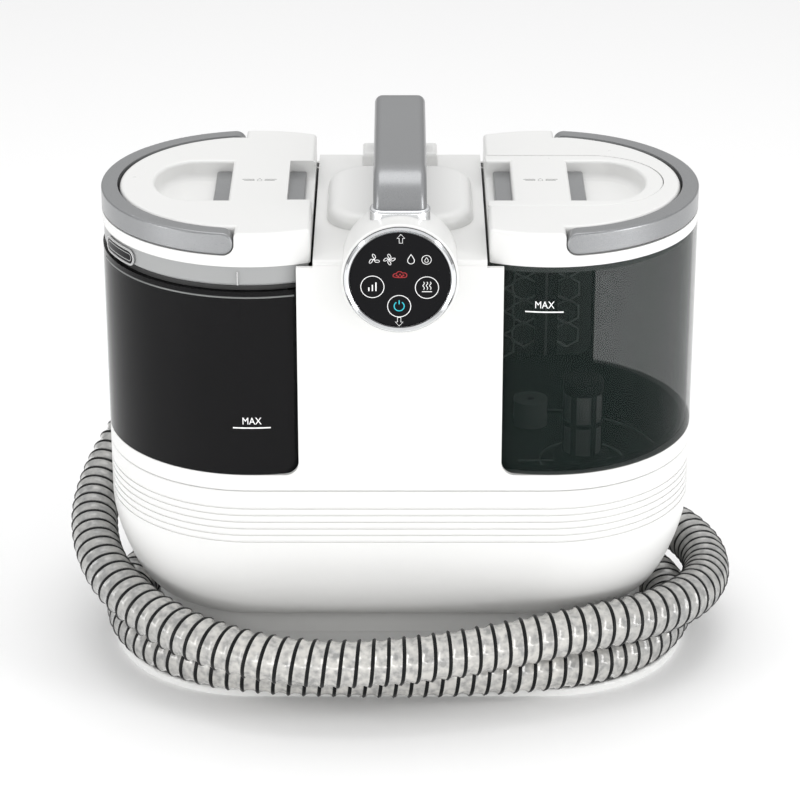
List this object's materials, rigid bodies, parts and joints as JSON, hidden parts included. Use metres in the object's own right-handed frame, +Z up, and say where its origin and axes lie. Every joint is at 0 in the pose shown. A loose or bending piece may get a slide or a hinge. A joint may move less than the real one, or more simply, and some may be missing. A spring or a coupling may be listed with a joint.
{
  "type": "portable carpet cleaner",
  "caption": "Portable spot carpet cleaner: white stadium-shaped housing, smoked lift-out clean and dirty tanks, carry handle, round touch display and ribbed suction hose round the base.",
  "frame": {"origin": "on the floor, under the middle of the base tray", "axes": "+X along the length towards the clean-water tank, -Y the front with the display, +Z up"},
  "size_m": [0.4403, 0.2888, 0.345],
  "materials": {
    "housing_white": "glossy white moulded plastic",
    "silver_plastic": "satin silver painted plastic",
    "chrome_trim": "polished ring",
    "smoked_clear": "smoked see-through tank plastic",
    "smoked_dark": "very dark see-through tank plastic",
    "black_glass": "glossy black display lens",
    "rubber_black": "black rubber",
    "grey_plastic": "light grey moulded plastic",
    "dark_plastic": "dark grey moulded plastic",
    "motor_metal": "die-cast metal",
    "steel_pin": "turned steel pin",
    "hose_wall": "flexible grey see-through hose with a black spiral",
    "circuit_green": "printed circuit board",
    "foam_filter": "pleated filter"
  },
  "bodies": {
    "root": {"base_tray": "housing_white", "bezel_ring": "chrome_trim", "carry_handle": "silver_plastic", "chassis_plate": "grey_plastic", "clean_seat_valve": "dark_plastic", "control_board": "circuit_green", "control_head": "housing_white", "deck_cover": "housing_white", "dirty_seat_seal": "rubber_black", "display_glass": "black_glass", "exhaust_filter": "foam_filter", "fan_housing": "grey_plastic", "handle_collar": "chrome_trim", "handle_rear_mount": "housing_white", "heater_block": "motor_metal", "hose": "hose_wall", "hose_port": "dark_plastic", "lower_shell": "housing_white", "machine_cuff": "rubber_black", "motor_mount_ring": "rubber_black", "power_supply": "circuit_green", "rear_cover": "housing_white", "rubber_feet": "rubber_black", "suction_duct": "grey_plastic", "tool_body": "dark_plastic", "tool_brush": "dark_plastic", "tool_cuff": "rubber_black", "tool_dock": "housing_white", "tool_nozzle": "dark_plastic", "tool_spray_tip": "dark_plastic", "trigger_pin": "steel_pin", "upper_shell": "housing_white", "vacuum_motor": "motor_metal", "water_pump": "dark_plastic", "water_tubes": "grey_plastic"},
    "clean_tank_unit": {"clean_tank": "smoked_clear", "clean_filter": "dark_plastic", "clean_valve_housing": "dark_plastic", "clean_lid": "housing_white", "clean_lid_seal": "rubber_black", "clean_bail_pins": "steel_pin"},
    "clean_cap_unit": {"clean_fill_cap": "housing_white"},
    "clean_bail_unit": {"clean_bail": "silver_plastic"},
    "clean_outer_button_unit": {"clean_button_outer": "silver_plastic"},
    "clean_inner_button_unit": {"clean_button_inner": "silver_plastic"},
    "clean_plunger_unit": {"clean_valve_plunger": "dark_plastic"},
    "dirty_tank_unit": {"dirty_tank": "smoked_dark", "riser_duct": "grey_plastic"},
    "dirty_lid_unit": {"dirty_lid": "housing_white", "separator_collar": "grey_plastic", "dirty_lid_seal": "rubber_black", "float_cage": "grey_plastic", "dirty_bail_pins": "steel_pin"},
    "dirty_bail_unit": {"dirty_bail": "silver_plastic"},
    "dirty_outer_button_unit": {"dirty_button_outer": "silver_plastic"},
    "dirty_inner_button_unit": {"dirty_button_inner": "silver_plastic"},
    "float_unit": {"shutoff_float": "grey_plastic"},
    "trigger_unit": {"tool_trigger": "dark_plastic"}
  },
  "joints": [
    {"name": "clean_tank_lift", "type": "slide", "parent": "root", "child": "clean_tank_unit", "axis": [0, 0, 1], "range_m": [0, 0.2]},
    {"name": "clean_cap_lift", "type": "slide", "parent": "clean_tank_unit", "child": "clean_cap_unit", "axis": [0, 0, 1], "range_m": [0, 0.04]},
    {"name": "clean_bail_swing", "type": "hinge", "parent": "clean_tank_unit", "child": "clean_bail_unit", "pos_m": [0.106, 0, 0.30715], "axis": [0, -1, 0], "range_deg": [0, 90]},
    {"name": "clean_outer_button_press", "type": "slide", "parent": "clean_cap_unit", "child": "clean_outer_button_unit", "axis": [-1, 0, 0], "range_m": [0, 0.003], "stiffness_N_per_m": 600},
    {"name": "clean_inner_button_press", "type": "slide", "parent": "clean_cap_unit", "child": "clean_inner_button_unit", "axis": [1, 0, 0], "range_m": [0, 0.003], "stiffness_N_per_m": 600},
    {"name": "clean_valve_open", "type": "slide", "parent": "clean_tank_unit", "child": "clean_plunger_unit", "axis": [0, 0, 1], "range_m": [0, 0.004], "stiffness_N_per_m": 400},
    {"name": "dirty_tank_lift", "type": "slide", "parent": "root", "child": "dirty_tank_unit", "axis": [0, 0, 1], "range_m": [0, 0.2]},
    {"name": "dirty_lid_lift", "type": "slide", "parent": "dirty_tank_unit", "child": "dirty_lid_unit", "axis": [0, 0, 1], "range_m": [0, 0.09]},
    {"name": "dirty_bail_swing", "type": "hinge", "parent": "dirty_lid_unit", "child": "dirty_bail_unit", "pos_m": [-0.106, 0, 0.30715], "axis": [0, 1, 0], "range_deg": [0, 90]},
    {"name": "dirty_outer_button_press", "type": "slide", "parent": "dirty_lid_unit", "child": "dirty_outer_button_unit", "axis": [1, 0, 0], "range_m": [0, 0.003], "stiffness_N_per_m": 600},
    {"name": "dirty_inner_button_press", "type": "slide", "parent": "dirty_lid_unit", "child": "dirty_inner_button_unit", "axis": [-1, 0, 0], "range_m": [0, 0.003], "stiffness_N_per_m": 600},
    {"name": "float_rise", "type": "slide", "parent": "dirty_lid_unit", "child": "float_unit", "axis": [0, 0, 1], "range_m": [0, 0.025]},
    {"name": "trigger_squeeze", "type": "hinge", "parent": "root", "child": "trigger_unit", "pos_m": [-0.032, 0.118, 0.1375], "axis": [0, -1, 0], "range_deg": [0, 8], "stiffness_Nm_per_rad": 0.4}
  ]
}
